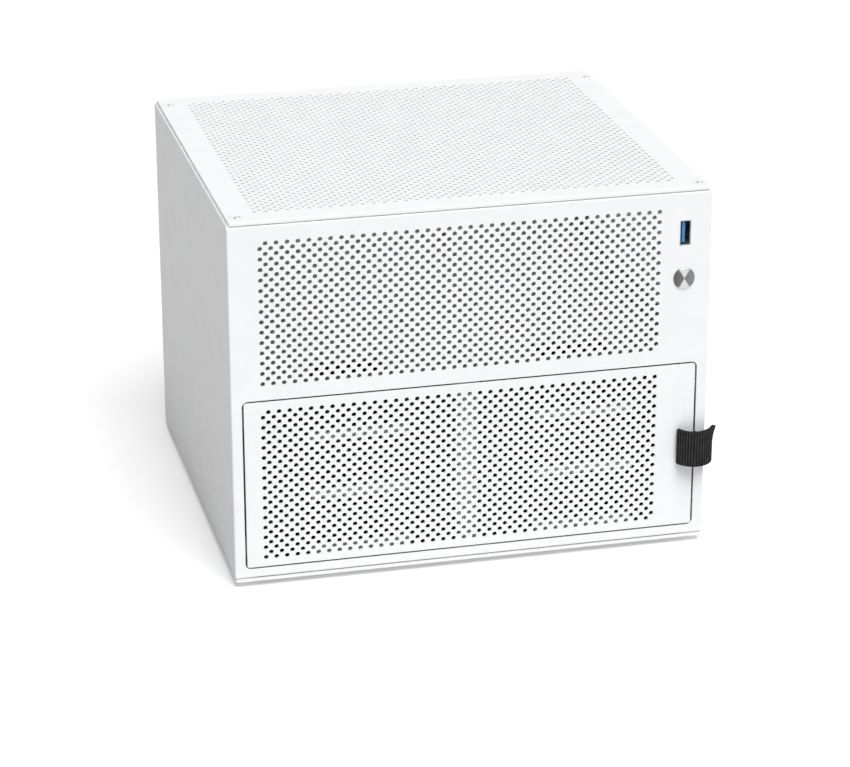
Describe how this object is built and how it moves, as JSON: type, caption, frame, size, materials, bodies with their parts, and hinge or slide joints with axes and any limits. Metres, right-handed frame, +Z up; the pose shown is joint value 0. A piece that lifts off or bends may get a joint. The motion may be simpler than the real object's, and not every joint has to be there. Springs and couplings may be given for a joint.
{
  "type": "network storage case",
  "caption": "White sheet-metal storage case with perforated top and front, a magnetic lift-off door over drive trays, a board deck, rear fans, a front socket and a push button.",
  "frame": {"origin": "on the floor, under the middle of the case between its four feet", "axes": "+X to the right seen from the front, +Y towards the back, +Z up"},
  "size_m": [0.2618, 0.239, 0.203],
  "materials": {
    "white_paint": "fine powder coat",
    "inner_paint": "smooth white coat",
    "deck_paint": "matt dark grey coat",
    "bare_steel": "plated sheet",
    "button_metal": "turned face",
    "brass": "turned",
    "tray_plastic": "moulded",
    "handle_plastic": "moulded",
    "black_plastic": "moulded",
    "blue_plastic": "moulded",
    "board": "solder mask",
    "webbing": "woven",
    "rubber": "matte"
  },
  "bodies": {
    "case": {"base_plate": "white_paint", "left_side_panel": "white_paint", "right_side_panel": "white_paint", "front_panel": "white_paint", "rear_panel": "white_paint", "top_cover": "white_paint", "mid_deck": "deck_paint", "left_cage_wall": "inner_paint", "right_cage_wall": "inner_paint", "cage_divider": "inner_paint", "corner_brackets": "bare_steel", "door_strikes": "bare_steel", "usb_shell": "bare_steel", "board_standoffs": "brass", "usb_spacers": "brass", "drive_tray_1": "tray_plastic", "drive_tray_2": "tray_plastic", "drive_tray_3": "tray_plastic", "drive_tray_4": "tray_plastic", "drive_tray_5": "tray_plastic", "drive_tray_6": "tray_plastic", "tray_handle_1": "handle_plastic", "tray_handle_2": "handle_plastic", "tray_handle_3": "handle_plastic", "tray_handle_4": "handle_plastic", "tray_handle_5": "handle_plastic", "tray_handle_6": "handle_plastic", "drive_sockets": "black_plastic", "power_sockets": "black_plastic", "power_switch": "black_plastic", "left_fan_frame": "black_plastic", "right_fan_frame": "black_plastic", "usb_tongue": "blue_plastic", "backplane_board": "board", "usb_board": "board", "rubber_feet": "rubber"},
    "door": {"door_panel": "white_paint", "door_magnets": "bare_steel", "pull_tab": "webbing", "tab_clamp": "bare_steel"},
    "button": {"power_button": "button_metal"},
    "left_fan": {"left_fan_rotor": "black_plastic"},
    "right_fan": {"right_fan_rotor": "black_plastic"}
  },
  "joints": [
    {"name": "door_pull", "type": "slide", "parent": "case", "child": "door", "axis": [0, -1, 0], "range_m": [0, 0.06]},
    {"name": "button_press", "type": "slide", "parent": "case", "child": "button", "axis": [0, 1, 0], "range_m": [0, 0.0015], "stiffness_N_per_m": 800, "springref_m": -0.001},
    {"name": "left_fan_spin", "type": "hinge", "parent": "case", "child": "left_fan", "pos_m": [-0.05, 0.1, 0.055], "axis": [0, 1, 0], "continuous": true},
    {"name": "right_fan_spin", "type": "hinge", "parent": "case", "child": "right_fan", "pos_m": [0.05, 0.1, 0.055], "axis": [0, 1, 0], "continuous": true}
  ]
}
